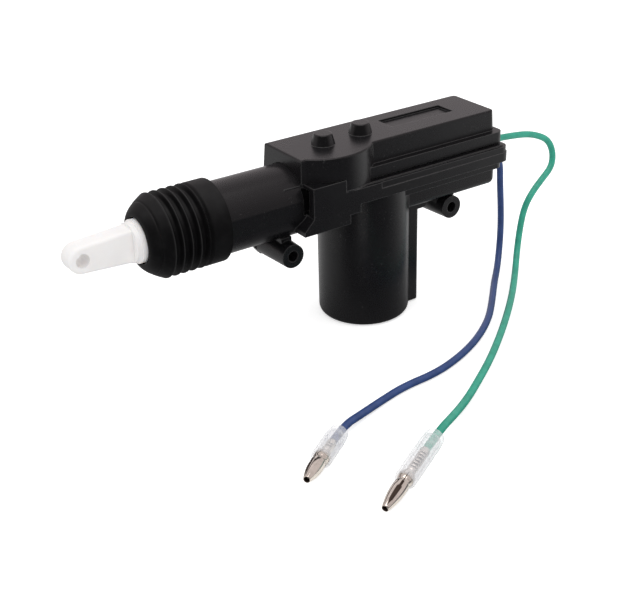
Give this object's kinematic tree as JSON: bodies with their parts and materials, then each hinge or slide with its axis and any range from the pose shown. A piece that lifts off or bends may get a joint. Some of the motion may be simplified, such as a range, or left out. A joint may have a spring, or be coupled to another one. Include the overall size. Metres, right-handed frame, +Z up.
{
  "type": "door latch actuator",
  "caption": "Electric door latch actuator: a motor in a round cup drives a geared rack plunger out of a tubular nose under a ribbed rubber bellows, with free wires and bullet connectors.",
  "frame": {"origin": "centre of the motor cup's flat base, on the motor shaft's line", "axes": "+Z up the motor shaft towards the cover, -X along the nose the way the plunger comes out, +Y the plain back of the case that goes against the door panel"},
  "size_m": [0.1864, 0.112, 0.0651],
  "materials": {
    "case_black": "satin moulded",
    "rubber_black": "matte",
    "nylon_white": "satin",
    "acetal_white": "satin",
    "steel_bright": "turned",
    "can_zinc": "plated",
    "sintered_bronze": "sintered",
    "core_steel": "laminated",
    "copper_enamel": "enamelled",
    "copper_bare": "polished",
    "carbon": "matte",
    "ferrite": "matte",
    "spring_brass": "bright",
    "wire_blue": "satin",
    "wire_green": "satin",
    "sleeve_clear": "clear",
    "bullet_plated": "bright plated"
  },
  "bodies": {
    "housing": {"back_brush": "carbon", "back_magnet": "ferrite", "back_terminal": "spring_brass", "bellows": "rubber_black", "blue_bullet": "bullet_plated", "blue_lead": "wire_blue", "blue_sleeve": "sleeve_clear", "blue_wire": "wire_blue", "front_brush": "carbon", "front_bumper": "rubber_black", "front_magnet": "ferrite", "front_terminal": "spring_brass", "gear_axle": "steel_bright", "green_bullet": "bullet_plated", "green_lead": "wire_green", "green_sleeve": "sleeve_clear", "green_wire": "wire_green", "housing_body": "case_black", "housing_cover": "case_black", "lower_bearing": "sintered_bronze", "lower_thrust_washer": "steel_bright", "motor_can": "can_zinc", "motor_end_cap": "case_black", "rear_bumper": "rubber_black", "upper_bearing": "sintered_bronze", "upper_thrust_washer": "steel_bright", "wire_gland": "rubber_black"},
    "plunger": {"plunger": "nylon_white"},
    "gear": {"reduction_gear": "acetal_white"},
    "armature": {"motor_shaft": "steel_bright", "motor_pinion": "spring_brass", "armature_core": "core_steel", "armature_windings": "copper_enamel", "commutator": "copper_bare"}
  },
  "joints": [
    {"name": "plunger_slide", "type": "slide", "parent": "housing", "child": "plunger", "axis": [-1, 0, 0], "range_m": [0, 0.02], "deforming": ["bellows"]},
    {"name": "gear_spin", "type": "hinge", "parent": "housing", "child": "gear", "pos_m": [-0.01497, -0.001, 0.05], "axis": [0, 0, 1], "range_deg": [0, 261]},
    {"name": "armature_spin", "type": "hinge", "parent": "housing", "child": "armature", "pos_m": [0, 0, 0.03], "axis": [0, 0, 1], "range_deg": [-553.4, 0]}
  ],
  "couplings": [
    {"joint": "plunger_slide", "follows": "armature_spin", "m_per_rad": -0.0020706},
    {"joint": "gear_spin", "follows": "armature_spin", "ratio": -0.47059}
  ]
}
